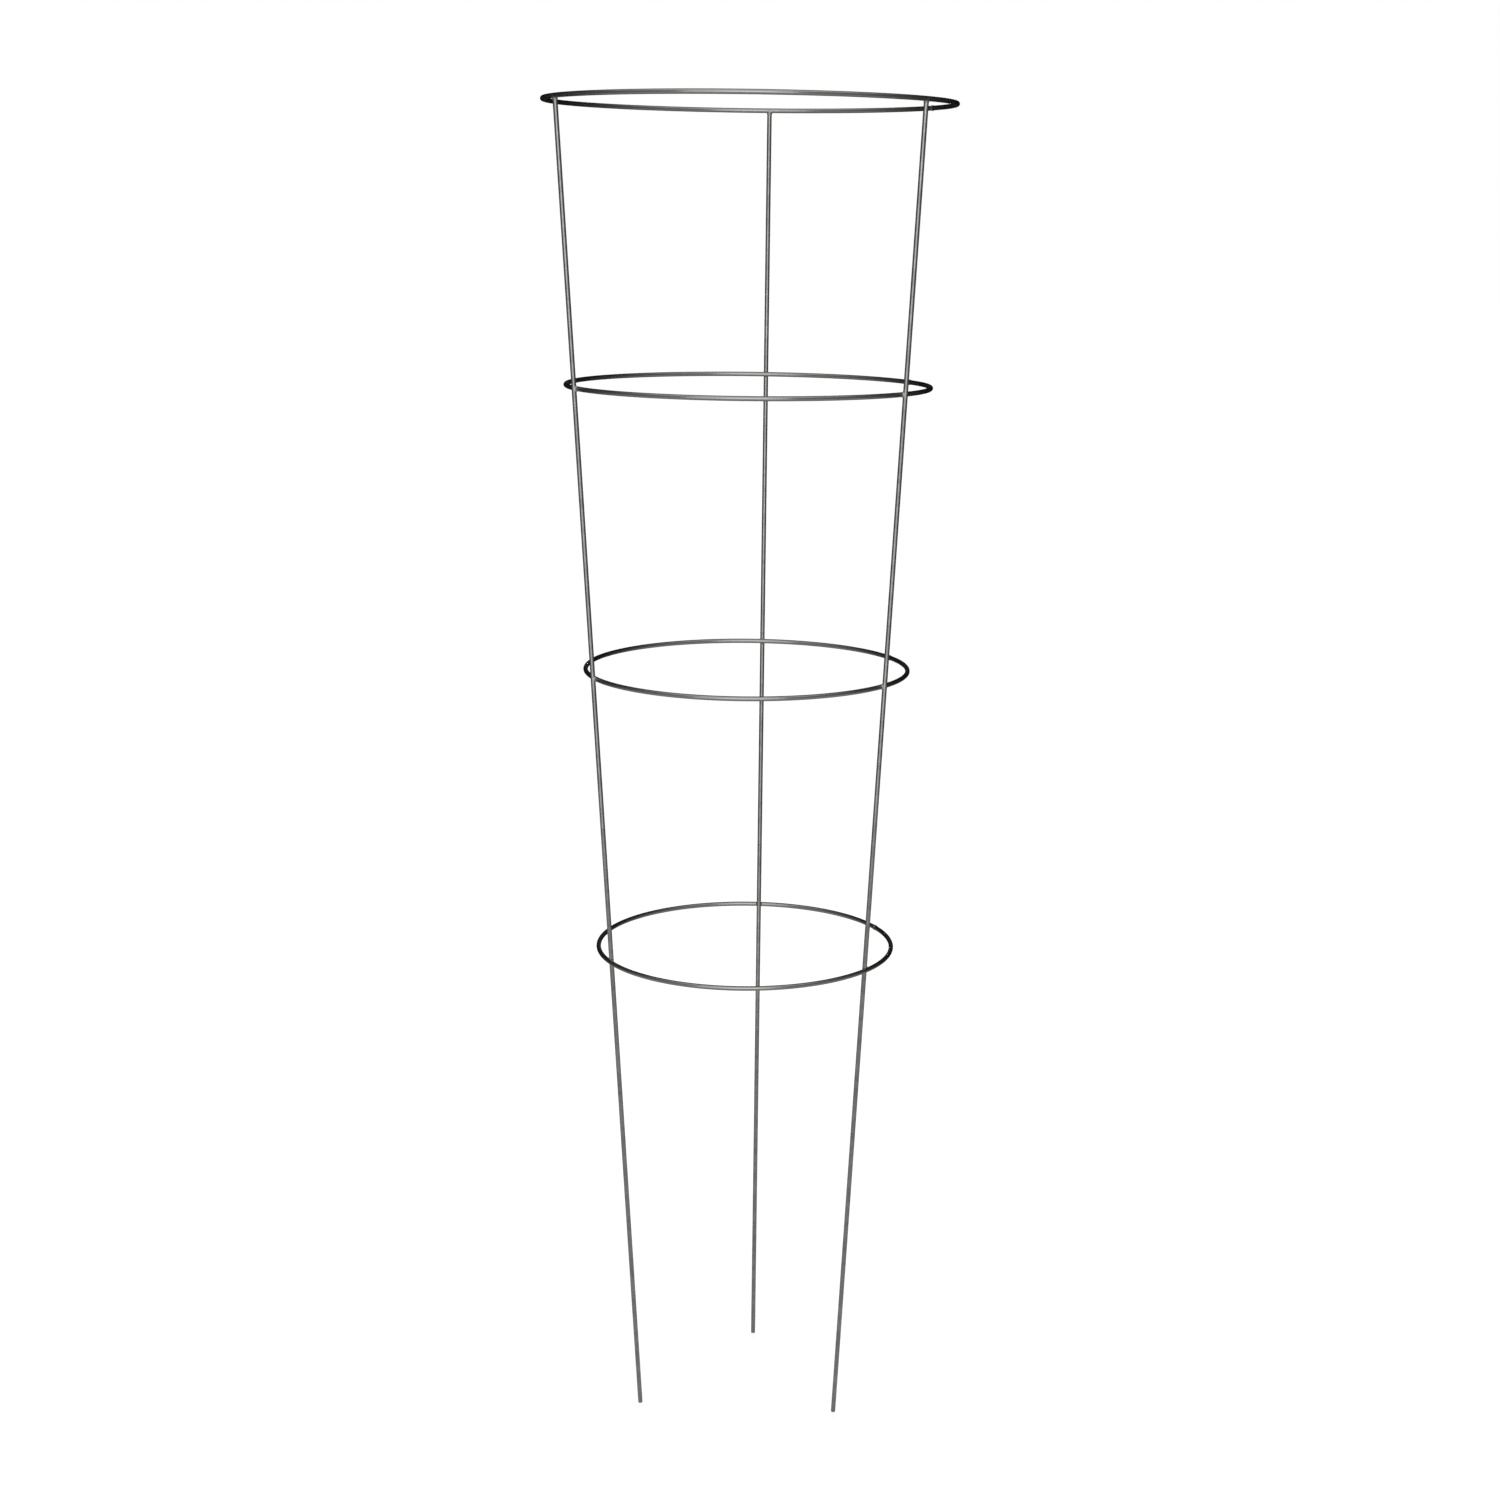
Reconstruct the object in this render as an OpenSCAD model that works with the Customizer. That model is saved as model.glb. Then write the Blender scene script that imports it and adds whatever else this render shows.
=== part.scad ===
// Tomato cage: three leaning wire legs that carry four wire hoops, welded wherever they meet.
// Sizes are millimetres. Z is up, the ground is Z = 0 and the cage's axis is the Z axis.
// The back leg stands towards +Y, the left and right legs towards -Y.

/* [Cage] */
// Height from the ground to the top of the top hoop
cage_h = 1359; // [1300:1:1800]
// Outer diameter of the top hoop
top_ring_d = 406.4; // [300:0.1:520]
// Diameter of the circle on which the leg ends stand, at the middle of the wire
foot_circle_d = 241.5; // [150:0.5:290]

/* [Hoop heights] */
// Height of the second hoop, at the middle of its wire
upper_ring_z = 1085; // [950:1:1250]
// Height of the third hoop, at the middle of its wire
middle_ring_z = 799; // [650:1:900]
// Height of the lowest hoop, at the middle of its wire
bottom_ring_z = 504; // [250:1:600]

/* [Wire] */
// Diameter of the leg wire
leg_wire_d = 4.76; // [3:0.01:8]
// Diameter of the hoop wire
ring_wire_d = 4.76; // [3:0.01:8]
// Bevel that shearing and coating leave round the lower end of a leg
tip_bevel = 0.5; // [0.1:0.1:1.2]

/* [Welds] */
// Depth to which two welded wires are pressed into each other
set_down = 1.5; // [0.4:0.1:1.8]
// Reach of the squeezed-out weld metal past the spot where the wires meet
weld_spread = 1.1; // [0.5:0.1:1.5]
// Height of the bead round the wire where a hoop's two ends are butt welded
seam_bead = 0.4; // [0.2:0.1:0.8]
// Turn from the back leg to the butt weld in each hoop, in degrees
seam_turn = -60; // [-100:1:-20]

/* [Hidden] */
$fn = 96;
// Flats round a drawn hoop: six times an odd number puts the middle of a flat at each leg
hoop_fn = 246;

leg_r = leg_wire_d / 2;
ring_r = ring_wire_d / 2;
foot_r = foot_circle_d / 2;

// The top hoop rests on the leg ends, so the leg lines run into the middle of its wire
top_ring_r = top_ring_d / 2 - ring_r;
top_ring_z = cage_h - ring_r;
lean = atan((top_ring_r - foot_r) / top_ring_z);
leg_line = norm([top_ring_r - foot_r, top_ring_z]);

// A leg's ends are cut square: it stands on the outer edge of the lower cut, and the upper one is
// pressed into the underside of the top hoop
tip_start = (leg_r - tip_bevel) * tan(lean);
leg_end = leg_line - ring_r + set_down;

// Distance between the middles of two crossing wires after welding, and half the width of the
// patch where they are pressed together
seat = leg_r + ring_r - set_down;
patch = sqrt(2 * max(leg_r, ring_r) * set_down - set_down ^ 2);

// A hoop's ends stop this far from the middle of their butt weld, where its bead thins to the wire
seam_half = sqrt((ring_r + seam_bead) ^ 2 - ring_r ^ 2);

// Each leg: its name and the way it stands from the axis
LEGS = [["back", 90], ["left", 210], ["right", 330]];

// Each hoop: its name, its height and its place: 0 on the leg ends, -1 inside the legs, 1 round them
RINGS = [
    ["top", top_ring_z, 0],
    ["upper", upper_ring_z, -1],
    ["middle", middle_ring_z, -1],
    ["bottom", bottom_ring_z, 1]
];

function ring_node(ring) = str(ring[0], "_ring");
function leg_node(leg) = str(leg[0], "_leg");
function weld_node(ring, leg) = str(ring[0], "_", leg[0], "_weld");
function seam_node(ring) = str(ring[0], "_ring_seam");

// Distance from the cage's axis to the middle of a leg at height z
function leg_reach(z) = foot_r + z * tan(lean);

// Radius of a hoop at the middle of its wire: it touches all three legs from its own side
function ring_reach(ring) = leg_reach(ring[1]) + ring[2] * seat / cos(lean);

// The middle of a weld, along the leg's line and out from it: just under the top hoop, and between
// the two wires at a crossing
function weld_along(ring) = ring[2] == 0
    ? leg_line - ring_r - weld_spread / 2
    : (ring_reach(ring) - foot_r) * sin(lean) + ring[1] * cos(lean);
function weld_out(ring) = ring[2] * (leg_r - set_down / 2);

// Half the width of the spot that a weld surrounds: the whole leg end under the top hoop, and the
// pressed patch at a crossing
function weld_core(ring) = ring[2] == 0 ? leg_r : patch;

// Places children in a leg's own frame: Z along the leg from the ground, X away from the cage's axis
module on_leg(leg) {
    rotate([0, 0, leg[1]])
        translate([foot_r, 0, 0])
            rotate([0, lean, 0])
                children();
}

// Places children at the middle of a hoop's butt weld, with Y along the wire
module at_seam(ring) {
    rotate([0, 0, LEGS[0][1] + seam_turn])
        translate([ring_reach(ring), 0, ring[1]])
            children();
}

// The room between a hoop's two wire ends, which the butt weld fills
module seam_room(ring) {
    at_seam(ring)
        cube([2 * ring_wire_d, 2 * seam_half, 2 * ring_wire_d], center = true);
}

// The wire of a hoop, closed, before the legs are pressed into it
module ring_wire(ring) {
    translate([0, 0, ring[1]])
        rotate_extrude($fn = hoop_fn)
            translate([ring_reach(ring), 0])
                circle(r = ring_r);
}

// A leg: a straight wire, whose lower end is the prong that goes into the soil
module leg_piece(leg) {
    color("#8f928f")
        on_leg(leg)
            rotate_extrude()
                polygon([
                    [0, tip_start],
                    [leg_r - tip_bevel, tip_start],
                    [leg_r, tip_start + tip_bevel],
                    [leg_r, leg_end],
                    [0, leg_end]
                ]);
}

// A hoop: a wire bent round until its ends nearly meet, with a seat where each leg is pressed into it
module ring_piece(ring) {
    color("#7d807d")
        difference() {
            ring_wire(ring);
            seam_room(ring);
            for (leg = LEGS) leg_piece(leg);
        }
}

// The weld metal squeezed out round the spot where a leg and a hoop meet
module weld_piece(ring, leg) {
    color("#6c6e6b")
        difference() {
            on_leg(leg)
                translate([weld_out(ring), 0, weld_along(ring)])
                    sphere(r = weld_core(ring) + weld_spread);
            leg_piece(leg);
            ring_wire(ring);
        }
}

// The butt weld between a hoop's two ends, which swells to a bead at its middle
module seam_piece(ring) {
    color("#6c6e6b")
        intersection() {
            at_seam(ring) sphere(r = ring_r + seam_bead);
            seam_room(ring);
        }
}

for (ring = RINGS)
    ring_piece(ring);
for (leg = LEGS)
    leg_piece(leg);
for (ring = RINGS)
    for (leg = LEGS)
        weld_piece(ring, leg);
for (ring = RINGS)
    seam_piece(ring);
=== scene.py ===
"""Looks of a tomato cage: drawn, welded and galvanised wire, in a plain white studio."""

import itertools
import logging
import math
from collections.abc import Sequence
from dataclasses import dataclass
from enum import Enum

import bpy
import numpy as np
from mathutils import Matrix, Vector

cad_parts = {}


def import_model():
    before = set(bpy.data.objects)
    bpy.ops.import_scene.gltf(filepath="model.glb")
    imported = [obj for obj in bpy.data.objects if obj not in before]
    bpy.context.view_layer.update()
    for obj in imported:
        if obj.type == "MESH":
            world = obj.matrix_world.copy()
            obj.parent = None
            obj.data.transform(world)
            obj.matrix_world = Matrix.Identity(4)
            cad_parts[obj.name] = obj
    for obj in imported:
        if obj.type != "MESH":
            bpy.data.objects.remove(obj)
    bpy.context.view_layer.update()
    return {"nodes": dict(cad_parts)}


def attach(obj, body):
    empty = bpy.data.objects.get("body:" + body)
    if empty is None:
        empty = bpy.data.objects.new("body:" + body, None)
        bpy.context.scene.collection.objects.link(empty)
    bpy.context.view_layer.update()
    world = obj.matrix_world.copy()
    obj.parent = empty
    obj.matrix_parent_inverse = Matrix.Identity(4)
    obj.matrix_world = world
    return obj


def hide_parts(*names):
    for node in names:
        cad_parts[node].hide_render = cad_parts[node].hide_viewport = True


LOG = logging.getLogger("tomato_cage")
MM = 0.001
BODY = "root"
WIRE_SLOT = "galvanised_wire"
WELD_SLOT = "weld_metal"
WIRE_SIDES = 32

# Each point of a wire carries its place on the straight wire, and how much a weld has heated it, which also
# sets where a painted glint lies round the weld
STRAIGHT = "straight_wire"
HEAT_AND_GLINT = "weld_heat_and_glint"
WELD_HEAT_AND_GLINT_REACH = 5 * MM

# Metres of coil from the start of one wire to the next, so that no two have the same pattern
COIL_STEP = 1.5

Setting = float | int | bool | str | Sequence[float]


# Small helpers

def linear(colour: str) -> tuple[float, float, float, float]:
    """Turns an sRGB hex colour into linear RGBA.

    Args:
        colour: The colour as "#rrggbb".

    Returns:
        Red, green, blue and alpha, each from 0 to 1.
    """
    parts = [int(colour[i:i + 2], 16) / 255 for i in (1, 3, 5)]
    curve = [p / 12.92 if p <= 0.04045 else ((p + 0.055) / 1.055) ** 2.4 for p in parts]
    return (*curve, 1.0)


def add_node(
    tree: bpy.types.NodeTree,
    kind: str,
    settings: dict[str | int, Setting] | None = None,
    links: dict[str | int, bpy.types.NodeSocket] | None = None,
) -> bpy.types.Node:
    """Adds one shader node with its settings and the links into it.

    Settings are made in order, so a node's own choices come before the inputs that they bring.

    Args:
        tree: The node tree that gets the node.
        kind: The node's type name in Blender.
        settings: Values by property name, input name or input number.
        links: Output sockets by the name or number of the input they feed.

    Returns:
        The new node.
    """
    node = tree.nodes.new(kind)
    for key, value in (settings or {}).items():
        if isinstance(key, int) or key in node.inputs:
            node.inputs[key].default_value = value
        else:
            setattr(node, key, value)
    for key, source in (links or {}).items():
        tree.links.new(source, node.inputs[key])
    return node


def new_material(name: str) -> tuple[bpy.types.Material, bpy.types.NodeTree]:
    """Makes an empty node material.

    Args:
        name: The material's name.

    Returns:
        The material and its node tree.
    """
    material = bpy.data.materials.new(name)
    material.use_nodes = True
    material.node_tree.nodes.clear()
    return material, material.node_tree


def select_only(*pieces: bpy.types.Object) -> None:
    """Leaves only these objects selected, with the first one active.

    Args:
        *pieces: The objects to select.
    """
    bpy.ops.object.select_all(action="DESELECT")
    for piece in pieces:
        piece.select_set(True)
    bpy.context.view_layer.objects.active = pieces[0]


class Pick(Enum):
    """What code is about to pick from a mesh."""

    EDGES = "EDGE"
    FACES = "FACE"


def start_picking(piece: bpy.types.Object, what: Pick) -> None:
    """Leaves nothing of a mesh selected, so that code can pick from it.

    Args:
        piece: The mesh's object.
        what: What will be picked.
    """
    select_only(piece)
    bpy.ops.object.mode_set(mode="EDIT")
    bpy.ops.mesh.select_mode(type=what.value)
    bpy.ops.mesh.select_all(action="DESELECT")
    bpy.ops.object.mode_set(mode="OBJECT")


def place(piece: bpy.types.Object, matrix: Matrix) -> None:
    """Moves an object by a matrix and puts the move into its mesh.

    Args:
        piece: The object to move.
        matrix: The move, in the cage's frame.
    """
    select_only(piece)
    piece.matrix_world = matrix @ piece.matrix_world
    bpy.ops.object.transform_apply(location=True, rotation=True, scale=True)


def apply_modifier(piece: bpy.types.Object, kind: str, **settings: object) -> None:
    """Adds a modifier to a piece, sets it and applies it.

    Args:
        piece: The object to change.
        kind: The modifier's type name in Blender.
        **settings: Values by the modifier's property names.
    """
    select_only(piece)
    modifier = piece.modifiers.new(kind.lower(), kind)
    for key, value in settings.items():
        setattr(modifier, key, value)
    bpy.ops.object.modifier_apply(modifier=modifier.name)


def own_copy(piece: bpy.types.Object, name: str) -> bpy.types.Object:
    """Copies an object with a mesh of its own.

    Args:
        piece: The object to copy.
        name: The copy's name.

    Returns:
        The copy.
    """
    twin = piece.copy()
    twin.data = piece.data.copy()
    twin.name = name
    twin.data.name = name
    bpy.context.scene.collection.objects.link(twin)
    return twin


def points_of(piece: bpy.types.Object) -> np.ndarray:
    """Reads a mesh's points.

    Args:
        piece: The mesh's object.

    Returns:
        One row of x, y and z for each point.
    """
    points = np.empty(len(piece.data.vertices) * 3)
    piece.data.vertices.foreach_get("co", points)
    return points.reshape(-1, 3)


def turn(angle: float, axis: str) -> Matrix:
    """Returns a turn by an angle in radians about an axis through the origin."""
    return Matrix.Rotation(angle, 4, axis)


# Sizes

class HoopPlace(Enum):
    """Where a hoop lies against the legs: its value is the side, counted away from the cage's axis."""

    ON_ENDS = 0
    INSIDE = -1
    ROUND = 1


@dataclass(frozen=True)
class CageSizes:
    """The cage's driving sizes in metres and radians, as its solids have them."""

    height: float = 1359 * MM
    top_hoop_d: float = 406.4 * MM
    foot_circle_d: float = 241.5 * MM
    # Heights of the lower hoops, at the middle of their wire
    upper_z: float = 1085 * MM
    middle_z: float = 799 * MM
    bottom_z: float = 504 * MM
    wire_d: float = 4.76 * MM
    tip_bevel: float = 0.5 * MM
    # Depth to which two welded wires are pressed into each other
    set_down: float = 1.5 * MM
    # Reach of the weld metal past the spot where two wires meet
    weld_spread: float = 1.1 * MM
    # Height of a butt weld's bead, and the bearing at which each hoop has its butt weld
    seam_bead: float = 0.4 * MM
    seam_at: float = math.radians(30)

    @property
    def wire_r(self) -> float:
        """Half the wire's diameter."""
        return self.wire_d / 2

    @property
    def foot_r(self) -> float:
        """Distance from the cage's axis to the middle of a foot."""
        return self.foot_circle_d / 2

    @property
    def top_z(self) -> float:
        """Height of the middle of the top hoop's wire."""
        return self.height - self.wire_r

    @property
    def flare(self) -> float:
        """How much further from the axis a leg is at the top hoop than at the ground."""
        return self.top_hoop_d / 2 - self.wire_r - self.foot_r

    @property
    def lean(self) -> float:
        """The angle by which a leg leans out."""
        return math.atan2(self.flare, self.top_z)

    @property
    def leg_line(self) -> float:
        """Length along a leg from the ground to the middle of the top hoop's wire."""
        return math.hypot(self.flare, self.top_z)

    @property
    def tip_start(self) -> float:
        """Length along a leg from the ground to its square cut, which stands on its outer edge."""
        return (self.wire_r - self.tip_bevel) * math.tan(self.lean)

    @property
    def seat(self) -> float:
        """Distance between the middles of two crossing wires that are pressed together."""
        return self.wire_d - self.set_down

    @property
    def seam_half(self) -> float:
        """Half the gap between a hoop's two ends, which its butt weld fills."""
        return math.sqrt((self.wire_r + self.seam_bead) ** 2 - self.wire_r ** 2)

    def leg_frame(self, azimuth: float) -> Matrix:
        """Returns a leg's own frame: Z along the leg from the ground, X away from the cage's axis."""
        return turn(azimuth, "Z") @ Matrix.Translation((self.foot_r, 0, 0)) @ turn(self.lean, "Y")

    def hoop_reach(self, height: float, where: HoopPlace) -> float:
        """Returns a hoop's radius at the middle of its wire."""
        leg_reach = self.foot_r + height * math.tan(self.lean)
        return leg_reach + where.value * self.seat / math.cos(self.lean)


# Finishes

@dataclass(frozen=True)
class GalvanisedWire:
    """Drawn steel wire under a zinc coat: dull silver grey, softly clouded and faintly spangled.

    The coat blurs reflections, and a thin bloom of zinc oxide on it is matt like chalk. Die lines run
    along the wire, and each weld has left a paler, dustier patch round it, whose pale tone is partly
    real zinc bloom and partly a painted glint where the wires cross.
    """

    bright: str = "#b9bab7"
    dull: str = "#9c9d9b"
    # Zinc bloom round the welds, painted paler than the wire so that it also stands in for a glint where the
    # wires cross
    oxide_and_glint: str = "#bebeb9"
    # Bare zinc is all metal, and the bloom hides about a fifth of it
    metal: float = 0.8
    smooth: float = 0.15
    rough: float = 0.25
    oxide_rough: float = 0.12
    cloud: float = 28 * MM
    spangle: float = 6 * MM
    # Real die lines are a few hundredths of a millimetre apart, so these are drawn coarser to show
    die_line: float = 0.45 * MM
    die_run: float = 90 * MM
    grit: float = 0.5 * MM
    relief: float = 0.03 * MM
    bump: float = 0.5
    # Shares of the spangle and the die lines in the tone, and of the grit in the relief
    spangle_share: float = 0.3
    die_share: float = 0.3
    grit_share: float = 0.35
    # The stretch of a pattern over which the tone goes from bright to dull, and smooth zinc to rough
    tone_from: float = 0.4
    tone_to: float = 0.6
    rough_from: float = 0.3
    rough_to: float = 0.7

    def material(self) -> bpy.types.Material:
        """Makes the material, which follows the wire as it lay before it was bent.

        Returns:
            The material.
        """
        material, tree = new_material("galvanised_steel_wire")
        straight = add_node(tree, "ShaderNodeAttribute", {"attribute_name": STRAIGHT}).outputs["Vector"]
        heat_and_glint = add_node(tree, "ShaderNodeAttribute", {"attribute_name": HEAT_AND_GLINT}).outputs["Fac"]
        cloud = add_node(
            tree, "ShaderNodeTexNoise",
            {"Scale": 1 / self.cloud, "Detail": 3.0, "Roughness": 0.6},
            {"Vector": straight},
        ).outputs["Fac"]
        die = self._die_lines(tree, straight)
        # Round each weld the tone goes paler: partly real zinc bloom, partly a painted glint
        colour = add_node(
            tree, "ShaderNodeMix", {"data_type": "RGBA", "B": linear(self.oxide_and_glint)},
            {"Factor": heat_and_glint, "A": self._zinc(tree, straight, cloud, die)},
        )
        matt = add_node(
            tree, "ShaderNodeMapRange",
            {
                "From Min": self.rough_from,
                "From Max": self.rough_to,
                "To Min": self.smooth,
                "To Max": self.rough,
            },
            {"Value": cloud},
        )
        dusty = add_node(
            tree, "ShaderNodeMath", {"operation": "MULTIPLY_ADD", 1: self.oxide_rough},
            {0: heat_and_glint, 2: matt.outputs["Result"]},
        )
        bump = add_node(
            tree, "ShaderNodeBump", {"Strength": self.bump, "Distance": self.relief},
            {"Height": self._relief(tree, straight, die)},
        )
        shader = add_node(
            tree, "ShaderNodeBsdfPrincipled", {"Metallic": self.metal},
            {
                "Base Color": colour.outputs["Result"],
                "Roughness": dusty.outputs["Value"],
                "Normal": bump.outputs["Normal"],
            },
        )
        add_node(tree, "ShaderNodeOutputMaterial", None, {"Surface": shader.outputs["BSDF"]})
        return material

    def _die_lines(self, tree: bpy.types.NodeTree, straight: bpy.types.NodeSocket) -> bpy.types.NodeSocket:
        """Draws the lines that the die has left along the wire.

        Args:
            tree: The material's nodes.
            straight: The place on the straight wire, with Z along it.

        Returns:
            The lines, from 0 to 1.
        """
        along = add_node(
            tree, "ShaderNodeMapping",
            {"Scale": (1 / self.die_line, 1 / self.die_line, 1 / self.die_run)},
            {"Vector": straight},
        )
        return add_node(
            tree, "ShaderNodeTexNoise", {"Scale": 1.0, "Detail": 2.0}, {"Vector": along.outputs["Vector"]}
        ).outputs["Fac"]

    def _zinc(
        self,
        tree: bpy.types.NodeTree,
        straight: bpy.types.NodeSocket,
        cloud: bpy.types.NodeSocket,
        die: bpy.types.NodeSocket,
    ) -> bpy.types.NodeSocket:
        """Mixes the zinc's colour from its clouds, its crystals and the die lines.

        Args:
            tree: The material's nodes.
            straight: The place on the straight wire.
            cloud: The clouds, from 0 to 1.
            die: The die lines, from 0 to 1.

        Returns:
            The colour.
        """
        spangle = add_node(
            tree, "ShaderNodeTexVoronoi",
            {"feature": "SMOOTH_F1", "Scale": 1 / self.spangle, "Smoothness": 0.5},
            {"Vector": straight},
        )
        crystal = add_node(tree, "ShaderNodeRGBToBW", None, {"Color": spangle.outputs["Color"]})
        patches = add_node(
            tree, "ShaderNodeMix", {"data_type": "FLOAT", "Factor": self.spangle_share},
            {"A": cloud, "B": crystal.outputs["Val"]},
        )
        tone = add_node(
            tree, "ShaderNodeMix", {"data_type": "FLOAT", "Factor": self.die_share},
            {"A": patches.outputs["Result"], "B": die},
        )
        spread = add_node(
            tree, "ShaderNodeMapRange", {"From Min": self.tone_from, "From Max": self.tone_to},
            {"Value": tone.outputs["Result"]},
        )
        return add_node(
            tree, "ShaderNodeMix",
            {"data_type": "RGBA", "A": linear(self.bright), "B": linear(self.dull)},
            {"Factor": spread.outputs["Result"]},
        ).outputs["Result"]

    def _relief(
        self, tree: bpy.types.NodeTree, straight: bpy.types.NodeSocket, die: bpy.types.NodeSocket
    ) -> bpy.types.NodeSocket:
        """Mixes the fine relief from the die lines and the coat's grit.

        Args:
            tree: The material's nodes.
            straight: The place on the straight wire.
            die: The die lines, from 0 to 1.

        Returns:
            The height, from 0 to 1.
        """
        grit = add_node(
            tree, "ShaderNodeTexNoise", {"Scale": 1 / self.grit, "Detail": 2.0}, {"Vector": straight}
        )
        return add_node(
            tree, "ShaderNodeMix", {"data_type": "FLOAT", "Factor": self.grit_share},
            {"A": die, "B": grit.outputs["Fac"]},
        ).outputs["Result"]


@dataclass(frozen=True)
class WeldMetal:
    """Steel squeezed out of a resistance weld, under zinc: matt, gritty and dulled by heat in places; its
    clean tone is zinc grey painted lighter than the wire's, as a glint on the bead.
    """

    # Zinc-grey weld metal, painted lighter than the wire to stand in for a glint on the bead
    clean_and_glint: str = "#c6c7c4"
    burnt: str = "#a5a49f"
    metal: float = 0.8
    rough: float = 0.42
    stain: float = 3 * MM
    grit: float = 0.4 * MM
    relief: float = 0.08 * MM
    bump: float = 0.7
    # The stretch of the stains over which clean metal goes to burnt
    burnt_from: float = 0.35
    burnt_to: float = 0.7

    def material(self) -> bpy.types.Material:
        """Makes the material, with stains and grit in the piece's own place.

        Returns:
            The material.
        """
        material, tree = new_material("resistance_weld_metal")
        here = add_node(tree, "ShaderNodeTexCoord").outputs["Object"]
        stain = add_node(
            tree, "ShaderNodeTexNoise", {"Scale": 1 / self.stain, "Detail": 4.0}, {"Vector": here}
        )
        grit = add_node(
            tree, "ShaderNodeTexNoise", {"Scale": 1 / self.grit, "Detail": 3.0}, {"Vector": here}
        )
        spread = add_node(
            tree, "ShaderNodeMapRange", {"From Min": self.burnt_from, "From Max": self.burnt_to},
            {"Value": stain.outputs["Fac"]},
        )
        colour = add_node(
            tree, "ShaderNodeMix",
            {"data_type": "RGBA", "A": linear(self.clean_and_glint), "B": linear(self.burnt)},
            {"Factor": spread.outputs["Result"]},
        )
        bump = add_node(
            tree, "ShaderNodeBump", {"Strength": self.bump, "Distance": self.relief},
            {"Height": grit.outputs["Fac"]},
        )
        shader = add_node(
            tree, "ShaderNodeBsdfPrincipled", {"Metallic": self.metal, "Roughness": self.rough},
            {"Base Color": colour.outputs["Result"], "Normal": bump.outputs["Normal"]},
        )
        add_node(tree, "ShaderNodeOutputMaterial", None, {"Surface": shader.outputs["BSDF"]})
        return material


@dataclass(frozen=True)
class ShearedSteel:
    """The bare cut end of a wire: bright where the blade slid, dark and torn where the wire broke."""

    slid: str = "#8f9192"
    torn: str = "#5f5f5d"
    rough: float = 0.5
    tear: float = 0.7 * MM
    relief: float = 0.1 * MM
    bump: float = 0.8

    def material(self) -> bpy.types.Material:
        """Makes the material, torn in streaks across the cut.

        Returns:
            The material.
        """
        material, tree = new_material("sheared_wire_end")
        here = add_node(tree, "ShaderNodeTexCoord").outputs["Object"]
        tear = add_node(
            tree, "ShaderNodeTexNoise", {"Scale": 1 / self.tear, "Detail": 4.0, "Distortion": 0.6},
            {"Vector": here},
        ).outputs["Fac"]
        colour = add_node(
            tree, "ShaderNodeMix",
            {"data_type": "RGBA", "A": linear(self.slid), "B": linear(self.torn)},
            {"Factor": tear},
        )
        bump = add_node(
            tree, "ShaderNodeBump", {"Strength": self.bump, "Distance": self.relief}, {"Height": tear}
        )
        shader = add_node(
            tree, "ShaderNodeBsdfPrincipled", {"Metallic": 1.0, "Roughness": self.rough},
            {"Base Color": colour.outputs["Result"], "Normal": bump.outputs["Normal"]},
        )
        add_node(tree, "ShaderNodeOutputMaterial", None, {"Surface": shader.outputs["BSDF"]})
        return material


@dataclass(frozen=True)
class Finishes:
    """The cage's materials, made once."""

    wire: bpy.types.Material
    weld: bpy.types.Material
    cut: bpy.types.Material

    @classmethod
    def make(cls) -> "Finishes":
        """Makes every material of the cage."""
        return cls(GalvanisedWire().material(), WeldMetal().material(), ShearedSteel().material())


class ZincCoat:
    """The uneven thickness of a dipped coat, as a relief in the mesh."""

    lump: float = 5 * MM
    depth: float = 0.05 * MM

    def __init__(self) -> None:
        """Makes the cloud pattern that the coat's thickness follows."""
        self.pattern = bpy.data.textures.new("zinc_coat", "CLOUDS")
        self.pattern.noise_scale = self.lump

    def lay_on(self, piece: bpy.types.Object, depth: float | None = None) -> None:
        """Gives a piece the coat's relief.

        Args:
            piece: The piece that is dipped.
            depth: The relief from lowest to highest, or None for that of plain wire.
        """
        strength = self.depth if depth is None else depth
        apply_modifier(
            piece, "DISPLACE", texture=self.pattern, texture_coords="LOCAL", strength=strength, mid_level=0.5
        )


# Sub-assemblies

@dataclass
class Dresser:
    """Puts a finished piece in the place of its solid."""

    finishes: Finishes
    coat: ZincCoat
    # Edges sharper than this stay sharp
    crease: float = math.radians(40)

    def finish(self, piece: bpy.types.Object, node: str, slot: str) -> None:
        """Smooths a piece, rides it on the body and lets it stand for its solid.

        Args:
            piece: The finished piece.
            node: The solid that it replaces.
            slot: A material slot's name; not used.
        """
        select_only(piece)
        bpy.ops.object.shade_smooth_by_angle(angle=self.crease)
        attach(piece, BODY)
        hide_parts(node)
        LOG.info("%s stands for %s, %d faces", piece.name, node, len(piece.data.polygons))


@dataclass
class Weld:
    """The weld metal round one spot where a leg meets a hoop, placed along and out from the leg's line."""

    node: str
    frame: Matrix
    along: float
    out: float

    @property
    def centre(self) -> Vector:
        """The middle of the weld in the cage's frame."""
        return self.frame @ Vector((self.out, 0, self.along))


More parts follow.
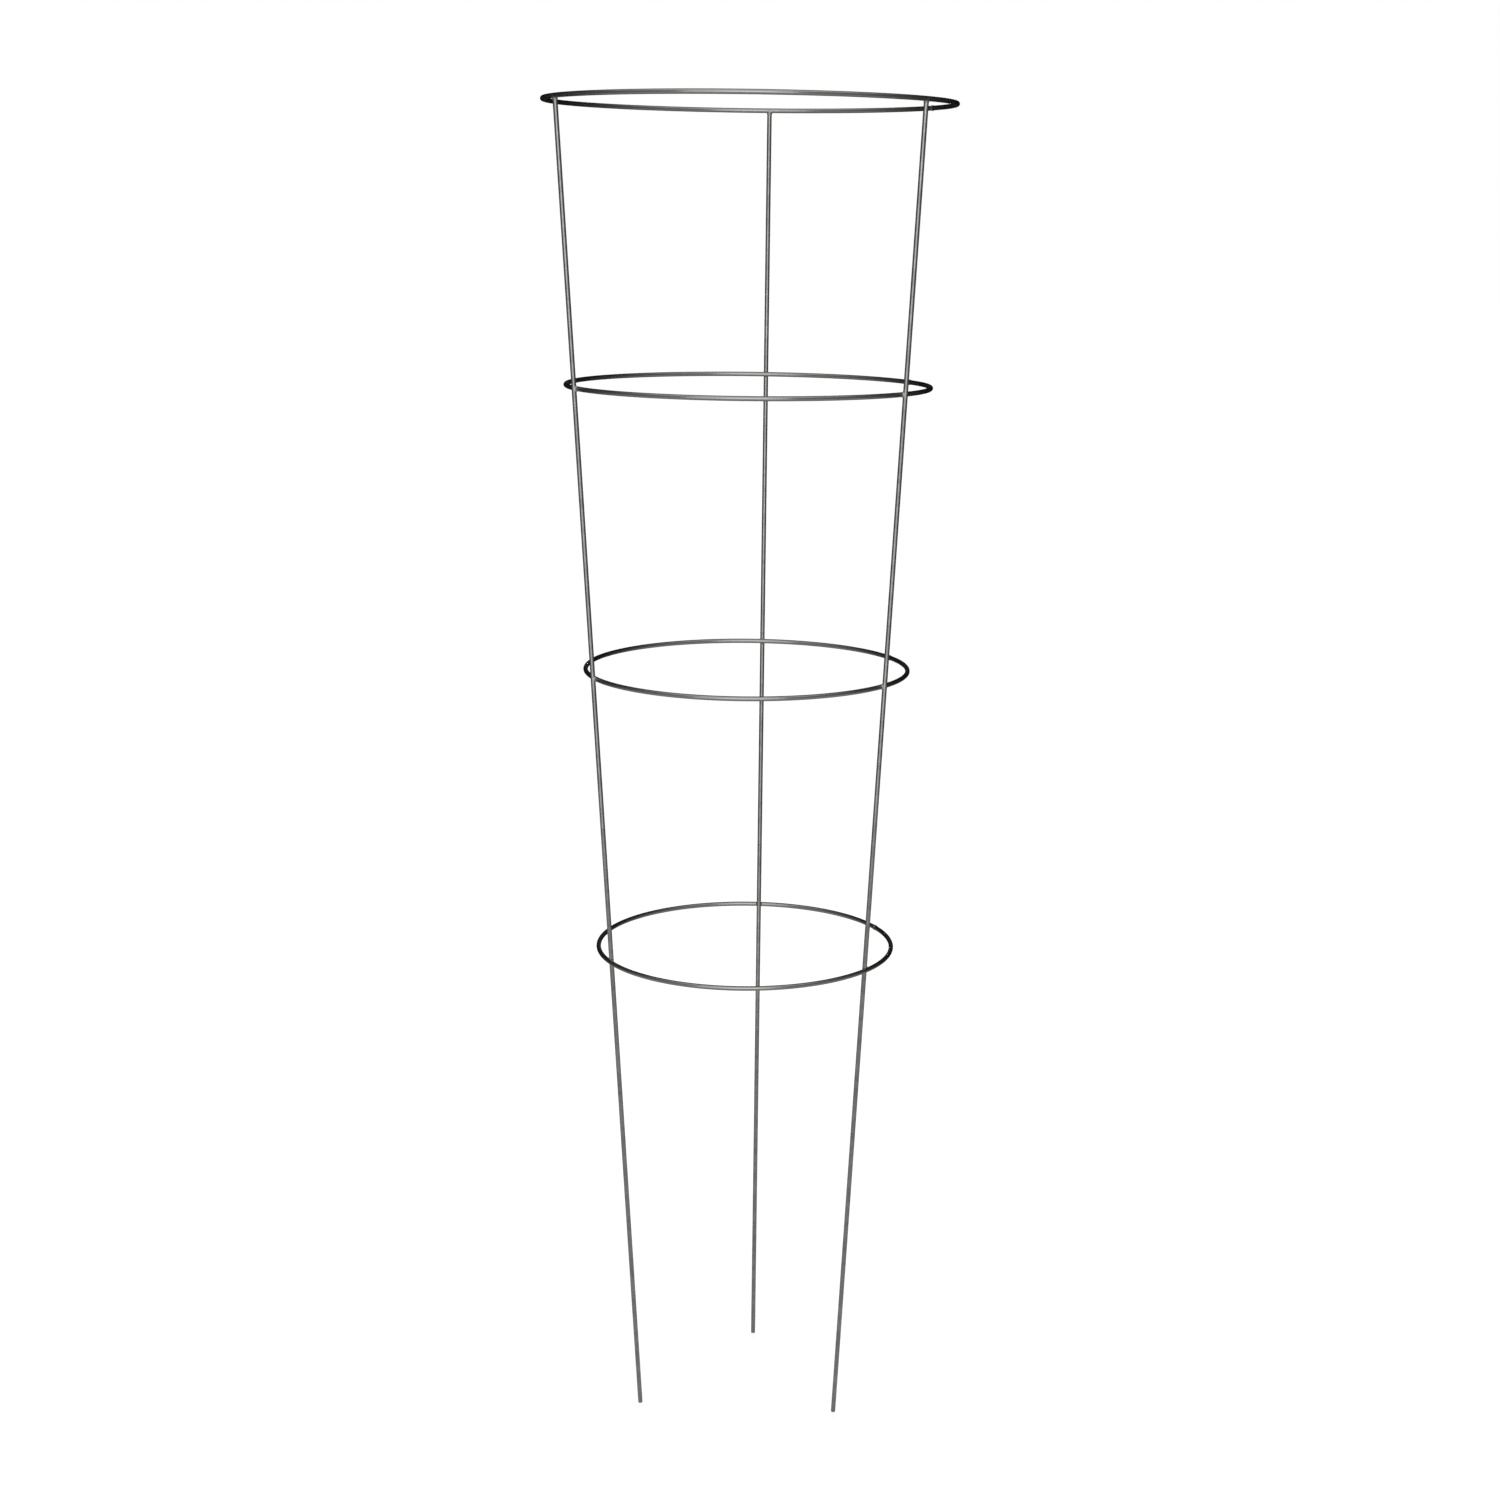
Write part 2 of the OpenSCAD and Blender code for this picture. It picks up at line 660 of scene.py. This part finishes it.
@dataclass
class WireRun:
    """What legs and hoops have in common: a length of wire, cut from a coil, with welds on it."""

    name: str
    coil_from: float

    def mark(self, piece: bpy.types.Object, straight: np.ndarray, welds: Sequence[Vector]) -> None:
        """Stores where each point lay on the straight wire, and how near it is to a weld.

        Args:
            piece: The wire.
            straight: The points in the wire's own straight frame, with Z along the wire.
            welds: The middles of the welds on this wire.
        """
        points = points_of(piece)
        away = np.min([np.linalg.norm(points - np.array(weld), axis=1) for weld in welds], axis=0)
        # Nearness to a weld, which sets the heat patch with its painted glint
        heat_and_glint = np.exp(-((away / WELD_HEAT_AND_GLINT_REACH) ** 2))
        on_coil = straight + np.array([0, 0, self.coil_from])
        drawn = piece.data.attributes.new(STRAIGHT, "FLOAT_VECTOR", "POINT")
        drawn.data.foreach_set("vector", on_coil.astype(np.float32).ravel())
        heat_and_glint_layer = piece.data.attributes.new(HEAT_AND_GLINT, "FLOAT", "POINT")
        heat_and_glint_layer.data.foreach_set("value", heat_and_glint.astype(np.float32))


@dataclass
class LegStock:
    """The straight wire of a leg, modelled once: a sheared prong end below and a square end above."""

    sizes: CageSizes
    # The long faces are cut across this often, and then each row again
    cuts: int = 16
    passes: int = 2
    bevel_steps: int = 4
    dish: float = 0.25 * MM
    # A face of the flat cut points down further than the first, and one of bare metal than the second
    flat_cut: float = -0.9
    bare_metal: float = -0.6

    def cut(self, finishes: Finishes) -> bpy.types.Object:
        """Models the leg upright, with Z along the wire from the ground.

        Args:
            finishes: The cage's materials.

        Returns:
            The leg, to be copied.
        """
        sizes = self.sizes
        length = sizes.leg_line - sizes.wire_r + sizes.set_down - sizes.tip_start
        bpy.ops.object.select_all(action="DESELECT")
        bpy.ops.mesh.primitive_cylinder_add(
            vertices=WIRE_SIDES, radius=sizes.wire_r, depth=length,
            location=(0, 0, sizes.tip_start + length / 2),
        )
        leg = bpy.context.object
        bpy.ops.object.transform_apply(location=True, rotation=True, scale=True)
        self._divide(leg)
        self._shear_tip(leg)
        leg.data.materials.append(finishes.wire)
        leg.data.materials.append(finishes.cut)
        for face in leg.data.polygons:
            at_tip = face.center.z < sizes.tip_start + sizes.tip_bevel
            face.material_index = int(at_tip and face.normal.z < self.bare_metal)
        return leg

    def _divide(self, leg: bpy.types.Object) -> None:
        """Divides the leg's long faces into rows, and each row again.

        Args:
            leg: The upright leg.
        """
        for _ in range(self.passes):
            start_picking(leg, Pick.EDGES)
            points = points_of(leg)
            for edge in leg.data.edges:
                low, high = points[list(edge.vertices)]
                edge.select = abs(high[2] - low[2]) > self.sizes.wire_d
            bpy.ops.object.mode_set(mode="EDIT")
            bpy.ops.mesh.subdivide(number_cuts=self.cuts)
            bpy.ops.object.mode_set(mode="OBJECT")

    def _shear_tip(self, leg: bpy.types.Object) -> None:
        """Rounds the lower edge and dishes the cut face, as a shear leaves them.

        Args:
            leg: The upright leg.
        """
        start_picking(leg, Pick.FACES)
        for face in leg.data.polygons:
            face.select = face.normal.z < self.flat_cut
        bpy.ops.object.mode_set(mode="EDIT")
        bpy.ops.mesh.bevel(offset=self.sizes.tip_bevel, segments=self.bevel_steps, affect="EDGES")
        bpy.ops.mesh.select_all(action="DESELECT")
        bpy.ops.object.mode_set(mode="OBJECT")
        lowest = min(leg.data.polygons, key=lambda face: (face.center.z, -face.area))
        lowest.select = True
        bpy.ops.object.mode_set(mode="EDIT")
        for depth in (self.dish, self.dish / 2):
            bpy.ops.mesh.inset(thickness=self.sizes.tip_bevel, depth=-depth)
        bpy.ops.object.mode_set(mode="OBJECT")


@dataclass
class Leg(WireRun):
    """One leg, leaning out from its foot."""

    azimuth: float

    @property
    def node(self) -> str:
        """The leg's solid."""
        return f"{self.name}_leg"

    def build(
        self, stock: bpy.types.Object, sizes: CageSizes, dresser: Dresser, welds: Sequence[Weld]
    ) -> bpy.types.Object:
        """Copies the straight wire and leans it into place.

        Args:
            stock: The upright leg.
            sizes: The cage's sizes.
            dresser: What finishes the piece.
            welds: The welds on this leg.

        Returns:
            The finished leg.
        """
        leg = own_copy(stock, f"{self.node}_wire")
        straight = points_of(leg)
        place(leg, sizes.leg_frame(self.azimuth))
        self.mark(leg, straight, [weld.centre for weld in welds])
        dresser.coat.lay_on(leg)
        dresser.finish(leg, self.node, WIRE_SLOT)
        return leg


@dataclass
class Hoop(WireRun):
    """One hoop: a wire bent round until its ends meet in a butt weld."""

    height: float
    where: HoopPlace
    steps: int = 360

    @property
    def node(self) -> str:
        """The hoop's solid."""
        return f"{self.name}_ring"

    def reach(self, sizes: CageSizes) -> float:
        """The hoop's radius at the middle of its wire."""
        return sizes.hoop_reach(self.height, self.where)

    def seam_frame(self, sizes: CageSizes) -> Matrix:
        """The butt weld's frame: X away from the cage's axis, Y along the wire."""
        return turn(sizes.seam_at, "Z") @ Matrix.Translation((self.reach(sizes), 0, self.height))

    def weld_on(self, leg: Leg, sizes: CageSizes) -> Weld:
        """Finds the weld between this hoop and a leg.

        Args:
            leg: The leg that the hoop meets.
            sizes: The cage's sizes.

        Returns:
            The weld, placed in the leg's frame.
        """
        if self.where is HoopPlace.ON_ENDS:
            along = sizes.leg_line - sizes.wire_r
        else:
            past_foot = self.reach(sizes) - sizes.foot_r
            along = past_foot * math.sin(sizes.lean) + self.height * math.cos(sizes.lean)
        out = self.where.value * (sizes.wire_r - sizes.set_down / 2)
        return Weld(f"{self.name}_{leg.name}_weld", sizes.leg_frame(leg.azimuth), along, out)

    def build(
        self, sizes: CageSizes, dresser: Dresser, legs: Sequence[bpy.types.Object], welds: Sequence[Weld]
    ) -> bpy.types.Object:
        """Bends the wire round, coats it and presses the legs into it.

        Args:
            sizes: The cage's sizes.
            dresser: What finishes the piece.
            legs: The finished legs.
            welds: The welds on this hoop.

        Returns:
            The finished hoop.
        """
        hoop = self._bend(sizes)
        dresser.coat.lay_on(hoop)
        for leg in legs:
            apply_modifier(hoop, "BOOLEAN", operation="DIFFERENCE", solver="EXACT", object=leg)
        hoop.data.materials.clear()
        hoop.data.materials.append(dresser.finishes.wire)
        seam = self.seam_frame(sizes).translation
        self.mark(hoop, self._unbent(hoop, sizes), [*(weld.centre for weld in welds), seam])
        dresser.finish(hoop, self.node, WIRE_SLOT)
        return hoop

    def _bend(self, sizes: CageSizes) -> bpy.types.Object:
        """Bends a wire round, with a capped end on each side of the butt weld.

        Args:
            sizes: The cage's sizes.

        Returns:
            The plain wire of the hoop.
        """
        reach = self.reach(sizes)
        gap = sizes.seam_half / reach
        bpy.ops.object.select_all(action="DESELECT")
        bpy.ops.mesh.primitive_circle_add(
            vertices=WIRE_SIDES, radius=sizes.wire_r, fill_type="NGON",
            location=(reach, 0, self.height), rotation=(math.pi / 2, 0, 0),
        )
        hoop = bpy.context.object
        hoop.name = hoop.data.name = f"{self.node}_wire"
        bpy.ops.object.transform_apply(location=True, rotation=True, scale=True)
        # Spin turns clockwise, seen from above, so the wire starts on that side of its butt weld
        place(hoop, turn(sizes.seam_at - gap, "Z"))
        bpy.ops.object.mode_set(mode="EDIT")
        bpy.ops.mesh.select_all(action="SELECT")
        bpy.ops.mesh.spin(
            steps=self.steps, angle=2 * (math.pi - gap), center=(0, 0, self.height), axis=(0, 0, 1)
        )
        bpy.ops.mesh.select_all(action="SELECT")
        bpy.ops.mesh.normals_make_consistent(inside=False)
        bpy.ops.object.mode_set(mode="OBJECT")
        return hoop

    def _unbent(self, hoop: bpy.types.Object, sizes: CageSizes) -> np.ndarray:
        """Works out where the hoop's points lay before the wire was bent.

        Args:
            hoop: The hoop's wire.
            sizes: The cage's sizes.

        Returns:
            The points in the straight wire's frame, with Z along the wire from the butt weld.
        """
        reach = self.reach(sizes)
        points = points_of(hoop)
        azimuth = (np.arctan2(points[:, 1], points[:, 0]) - sizes.seam_at) % (2 * math.pi)
        from_axis = np.hypot(points[:, 0], points[:, 1])
        return np.stack([from_axis - reach, points[:, 2] - self.height, azimuth * reach], axis=1)


@dataclass
class BeadShop:
    """Models each kind of weld bead once and puts copies of it where welds are."""

    sizes: CageSizes
    dresser: Dresser
    # Size of a bead's mesh, and how it is smoothed
    grain: float = 0.28 * MM
    melt: int = 6
    melt_factor: float = 0.5
    # How far weld metal stands proud of a wire, leans towards the other wire and runs out along its own
    proud: float = 0.16 * MM
    lean_in: float = 0.4 * MM
    run_out: float = 5.5 * MM
    # How far the neck under the top hoop swells past the leg
    neck_swell: float = 0.3 * MM
    # Thickness of the lens between two crossing wires, as a share of its width
    lens_share: float = 0.62
    # How far the fin of flash round a butt weld stands out, and half its width
    flash_rise: float = 0.15 * MM
    flash_half: float = 0.9 * MM
    relief: float = 0.25 * MM

    def melt_together(self, lumps: Sequence[tuple[Vector, Vector]]) -> bpy.types.Object:
        """Melts round lumps into one bead with filleted necks.

        Args:
            lumps: The middle of each lump and its reach along X, Y and Z.

        Returns:
            The bead, in the frame of its lumps.
        """
        made = []
        for middle, reach in lumps:
            bpy.ops.object.select_all(action="DESELECT")
            bpy.ops.mesh.primitive_uv_sphere_add(
                segments=WIRE_SIDES, ring_count=WIRE_SIDES // 2, radius=1, location=middle, scale=reach
            )
            made.append(bpy.context.object)
        select_only(*made)
        bpy.ops.object.join()
        bead = bpy.context.object
        bpy.ops.object.transform_apply(location=True, rotation=True, scale=True)
        apply_modifier(bead, "REMESH", mode="VOXEL", voxel_size=self.grain)
        apply_modifier(bead, "SMOOTH", factor=self.melt_factor, iterations=self.melt)
        return bead

    def leg_bead(self, where: HoopPlace) -> bpy.types.Object:
        """Models the bead round a leg and a hoop, in the leg's frame with the weld's middle at Z = 0.

        Args:
            where: Where the hoop lies against the leg.

        Returns:
            The bead, to be copied.
        """
        sizes = self.sizes
        skin = sizes.wire_r + self.proud
        if where is HoopPlace.ON_ENDS:
            neck = sizes.wire_r + self.neck_swell
            return self.melt_together([
                (Vector((0, 0, -sizes.weld_spread)), Vector((skin, skin, self.run_out))),
                (Vector((0, 0, sizes.wire_r - self.lean_in)), Vector((skin, self.run_out, skin))),
                (Vector((0, 0, -sizes.weld_spread / 2)), Vector((neck, neck, neck))),
            ])
        touch = where.value * (sizes.wire_r - sizes.set_down / 2)
        ball = sizes.wire_r + sizes.weld_spread
        return self.melt_together([
            (Vector((where.value * self.lean_in, 0, 0)), Vector((skin, skin, self.run_out))),
            (Vector((where.value * (sizes.seat - self.lean_in), 0, 0)), Vector((skin, self.run_out, skin))),
            (Vector((touch, 0, 0)), Vector((ball * self.lens_share, ball, ball))),
        ])

    def seam_bead(self) -> bpy.types.Object:
        """Models a hoop's butt weld in its own frame, with Y along the wire.

        Returns:
            The bead, to be copied.
        """
        bulge = self.sizes.wire_r + self.sizes.seam_bead
        flash = bulge + self.flash_rise
        return self.melt_together([
            (Vector((0, 0, 0)), Vector((bulge, self.run_out, bulge))),
            (Vector((0, 0, 0)), Vector((flash, self.flash_half, flash))),
        ])

    def put(self, pattern: bpy.types.Object, node: str, matrix: Matrix) -> None:
        """Copies a bead to a weld and gives it its own lumps.

        Args:
            pattern: The bead to copy.
            node: The solid that the copy replaces.
            matrix: The weld's frame.
        """
        bead = own_copy(pattern, f"{node}_bead")
        place(bead, matrix)
        self.dresser.coat.lay_on(bead, self.relief)
        bead.data.materials.clear()
        bead.data.materials.append(self.dresser.finishes.weld)
        self.dresser.finish(bead, node, WELD_SLOT)


@dataclass
class Cage:
    """The whole cage."""

    sizes: CageSizes
    dresser: Dresser

    def build(self) -> None:
        """Builds the legs, then the hoops on them, then every weld."""
        sizes = self.sizes
        coil_from = itertools.count(0.0, COIL_STEP)
        legs = [
            Leg("back", next(coil_from), math.radians(90)),
            Leg("left", next(coil_from), math.radians(210)),
            Leg("right", next(coil_from), math.radians(330)),
        ]
        hoops = [
            Hoop("top", next(coil_from), sizes.top_z, HoopPlace.ON_ENDS),
            Hoop("upper", next(coil_from), sizes.upper_z, HoopPlace.INSIDE),
            Hoop("middle", next(coil_from), sizes.middle_z, HoopPlace.INSIDE),
            Hoop("bottom", next(coil_from), sizes.bottom_z, HoopPlace.ROUND),
        ]
        stock = LegStock(sizes).cut(self.dresser.finishes)
        wires = []
        for leg in legs:
            welds = [hoop.weld_on(leg, sizes) for hoop in hoops]
            wires.append(leg.build(stock, sizes, self.dresser, welds))
        for hoop in hoops:
            hoop.build(sizes, self.dresser, wires, [hoop.weld_on(leg, sizes) for leg in legs])
        self._weld(legs, hoops)
        bpy.data.objects.remove(stock)

    def _weld(self, legs: Sequence[Leg], hoops: Sequence[Hoop]) -> None:
        """Puts a bead on every weld of the cage.

        Args:
            legs: The cage's legs.
            hoops: The cage's hoops.
        """
        shop = BeadShop(self.sizes, self.dresser)
        patterns = {where: shop.leg_bead(where) for where in HoopPlace}
        seam = shop.seam_bead()
        for hoop in hoops:
            for leg in legs:
                weld = hoop.weld_on(leg, self.sizes)
                matrix = weld.frame @ Matrix.Translation((0, 0, weld.along))
                shop.put(patterns[hoop.where], weld.node, matrix)
            shop.put(seam, f"{hoop.node}_seam", hoop.seam_frame(self.sizes))
        for pattern in (*patterns.values(), seam):
            bpy.data.objects.remove(pattern)


# Studio and camera

@dataclass(frozen=True)
class CardGrade:
    """How a grey card fades from the camera's side of the studio to black behind the cage."""

    name: str
    grey: float
    fade_from: float
    fade_to: float
    curve: float

    def material(self) -> bpy.types.Material:
        """Makes the card's material, which fades along Y, fast at first where the curve is over 1.

        Returns:
            The material.
        """
        material, tree = new_material(self.name)
        here = add_node(tree, "ShaderNodeTexCoord")
        axes = add_node(tree, "ShaderNodeSeparateXYZ", None, {"Vector": here.outputs["Object"]})
        fade = add_node(
            tree, "ShaderNodeMapRange",
            {
                "From Min": self.fade_from,
                "From Max": self.fade_to,
                "To Min": self.grey ** (1 / self.curve),
                "To Max": 0.0,
            },
            {"Value": axes.outputs["Y"]},
        )
        grey = add_node(
            tree, "ShaderNodeMath", {"operation": "POWER", 1: self.curve}, {0: fade.outputs["Result"]}
        )
        light = add_node(tree, "ShaderNodeEmission", None, {"Strength": grey.outputs["Value"]})
        add_node(tree, "ShaderNodeOutputMaterial", None, {"Surface": light.outputs["Emission"]})
        return material


@dataclass(frozen=True)
class Softbox:
    """One large, soft lamp that points at the cage, with its place in metres and its power in watts."""

    name: str
    at: tuple[float, float, float]
    aim_height: float
    power: float
    in_metal: bool
    # A narrow spread is that of a honeycomb grid, which keeps the light off the floor
    spread: float
    width: float = 1.6

    def hang(self) -> None:
        """Adds the lamp. One that isn't in the metal lights only what is matt, and isn't mirrored."""
        bpy.ops.object.select_all(action="DESELECT")
        bpy.ops.object.light_add(type="AREA", location=self.at)
        lamp = bpy.context.object
        lamp.name = self.name
        lamp.data.size = self.width
        lamp.data.energy = self.power
        lamp.data.spread = self.spread
        lamp.visible_camera = False
        lamp.visible_glossy = self.in_metal
        aim = Vector((0, 0, self.aim_height)) - Vector(self.at)
        lamp.rotation_euler = aim.to_track_quat("-Z", "Y").to_euler()


class Card(Enum):
    """The grey cards of the studio: each value is the card's place among their materials."""

    WALL = 0
    CEILING = 1
    GROUND = 2


@dataclass
class Studio:
    """A white floor and backdrop, soft light, and grey cards that only the metal's reflections see."""

    floor_width: float = 80.0
    paper: str = "#f2f2f0"
    # The floor's glow to the camera at the cage's axis, and the distance at which it is white
    glow_near: float = 0.89
    glow_reach: float = 1.2
    ambient: float = 0.03
    # The cards stand in a circle of flat facets, open towards the camera by the gap on either side
    card_reach: float = 2.2
    card_height: float = 3.2
    card_clear: float = 0.1 * MM
    card_gap: float = math.radians(32)
    card_facets: int = 72
    # A card whose normal points up or down further than this is the ceiling or the ground
    level: float = 0.5
    wall: CardGrade = CardGrade("wall_card", 0.36, -2.2, 2.2, 1.8)
    ceiling: CardGrade = CardGrade("ceiling_card", 0.9, -0.8, 2.2, 1.5)
    ground: CardGrade = CardGrade("ground_card", 0.41, 0.0, 2.2, 2.2)
    front_box: Softbox = Softbox("front_softbox", (0.2, -3.1, 1.6), 0.8, 6.0, True, math.radians(180))
    back_box: Softbox = Softbox("back_softbox", (-0.2, 3.1, 1.15), 1.0, 17.0, False, math.radians(40))

    def build(self) -> None:
        """Sets up the floor, the cards, the softboxes and the world."""
        self._floor()
        self._cards()
        self.front_box.hang()
        self.back_box.hang()
        self._world()

    def _seen(self, tree: bpy.types.NodeTree) -> bpy.types.NodeSocket:
        """Tells what is looked at from what only gives light.

        Args:
            tree: The nodes of the floor or the world.

        Returns:
            1 for rays from the camera, off metal or through glass, and 0 for light on matt things.
        """
        path = add_node(tree, "ShaderNodeLightPath")
        shown = add_node(
            tree, "ShaderNodeMath", {"operation": "ADD"},
            {0: path.outputs["Is Camera Ray"], 1: path.outputs["Is Glossy Ray"]},
        )
        return add_node(
            tree, "ShaderNodeMath", {"operation": "ADD", "use_clamp": True},
            {0: shown.outputs["Value"], 1: path.outputs["Is Transmission Ray"]},
        ).outputs["Value"]

    def _floor(self) -> None:
        """Lays white paper that glows to the camera, less so round the cage, where it takes its shadow."""
        bpy.ops.object.select_all(action="DESELECT")
        bpy.ops.mesh.primitive_plane_add(size=self.floor_width)
        floor = bpy.context.object
        floor.name = "floor"
        material, tree = new_material("white_paper_floor")
        matt = add_node(tree, "ShaderNodeBsdfDiffuse", {"Color": linear(self.paper)})
        here = add_node(tree, "ShaderNodeTexCoord")
        away = add_node(
            tree, "ShaderNodeVectorMath", {"operation": "LENGTH"}, {"Vector": here.outputs["Object"]}
        )
        rise = add_node(
            tree, "ShaderNodeMapRange",
            {"From Min": 0.0, "From Max": self.glow_reach, "To Min": self.glow_near, "To Max": 1.0},
            {"Value": away.outputs["Value"]},
        )
        glow = add_node(
            tree, "ShaderNodeMath", {"operation": "MULTIPLY"},
            {0: self._seen(tree), 1: rise.outputs["Result"]},
        )
        light = add_node(tree, "ShaderNodeEmission", None, {"Strength": glow.outputs["Value"]})
        both = add_node(
            tree, "ShaderNodeAddShader", None, {0: matt.outputs["BSDF"], 1: light.outputs["Emission"]}
        )
        add_node(tree, "ShaderNodeOutputMaterial", None, {"Surface": both.outputs["Shader"]})
        floor.data.materials.append(material)

    def _card(self, up: float) -> Card:
        """Finds the card that a face is part of.

        Args:
            up: How far the face's normal points up, from -1 to 1.

        Returns:
            The card.
        """
        if up > self.level:
            return Card.CEILING
        if up < -self.level:
            return Card.GROUND
        return Card.WALL

    def _cards(self) -> None:
        """Stands grey cards round, over and under the cage, open towards the camera."""
        bpy.ops.object.select_all(action="DESELECT")
        bpy.ops.mesh.primitive_cylinder_add(
            vertices=self.card_facets, radius=self.card_reach, depth=self.card_height, end_fill_type="NGON",
            location=(0, 0, self.card_height / 2 + self.card_clear),
        )
        cards = bpy.context.object
        cards.name = "grey_cards"
        bpy.ops.object.transform_apply(location=True, rotation=True, scale=True)
        for grade in (self.wall, self.ceiling, self.ground):
            cards.data.materials.append(grade.material())
        start_picking(cards, Pick.FACES)
        for face in cards.data.polygons:
            face.material_index = self._card(face.normal.z).value
            face.select = face.normal.dot(Vector((0, -1, 0))) > math.cos(self.card_gap)
        bpy.ops.object.mode_set(mode="EDIT")
        bpy.ops.mesh.delete(type="FACE")
        bpy.ops.object.mode_set(mode="OBJECT")
        cards.visible_camera = False
        cards.visible_diffuse = False
        cards.visible_shadow = False
        cards.visible_transmission = False

    def _world(self) -> None:
        """Makes the surroundings white to the eye and dimmer as light."""
        world = bpy.data.worlds.new("white_studio")
        world.use_nodes = True
        tree = world.node_tree
        tree.nodes.clear()
        white = linear("#ffffff")
        shown = add_node(tree, "ShaderNodeBackground", {"Color": white, "Strength": 1.0})
        dim = add_node(tree, "ShaderNodeBackground", {"Color": white, "Strength": self.ambient})
        both = add_node(
            tree, "ShaderNodeMixShader", None,
            {"Fac": self._seen(tree), 1: dim.outputs["Background"], 2: shown.outputs["Background"]},
        )
        add_node(tree, "ShaderNodeOutputWorld", None, {"Surface": both.outputs["Shader"]})
        bpy.context.scene.world = world


@dataclass(frozen=True)
class PhotoCamera:
    """The photograph's camera: a little below the top hoop, looking slightly down."""

    at: tuple[float, float, float] = (0.2469, -2.4479, 1.2486)
    yaw: float = math.radians(4.282)
    pitch: float = math.radians(13.895)
    roll: float = math.radians(0.723)
    # Focal length in millimetres, and the shifts as shares of the picture's width
    lens: float = 58.39
    shift_x: float = -0.03782
    shift_y: float = 0.04605

    def build(self) -> None:
        """Makes the camera and gives it to the scene."""
        data = bpy.data.cameras.new("photo_camera")
        data.lens = self.lens
        data.shift_x = self.shift_x
        data.shift_y = self.shift_y
        camera = bpy.data.objects.new("photo_camera", data)
        bpy.context.scene.collection.objects.link(camera)
        aim = turn(self.yaw, "Z") @ turn(math.pi / 2 - self.pitch, "X") @ turn(self.roll, "Z")
        camera.matrix_world = Matrix.Translation(self.at) @ aim
        bpy.context.scene.camera = camera


def main() -> None:
    """Loads the frame, dresses it, and sets up the studio and the camera."""
    logging.basicConfig(level=logging.INFO, format="%(message)s")
    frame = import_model()
    LOG.info("the frame has %d solids", len(frame["nodes"]))
    bpy.context.scene.view_settings.view_transform = "Standard"
    PhotoCamera().build()
    Studio().build()
    Cage(CageSizes(), Dresser(Finishes.make(), ZincCoat())).build()


if __name__ == "__main__":
    main()
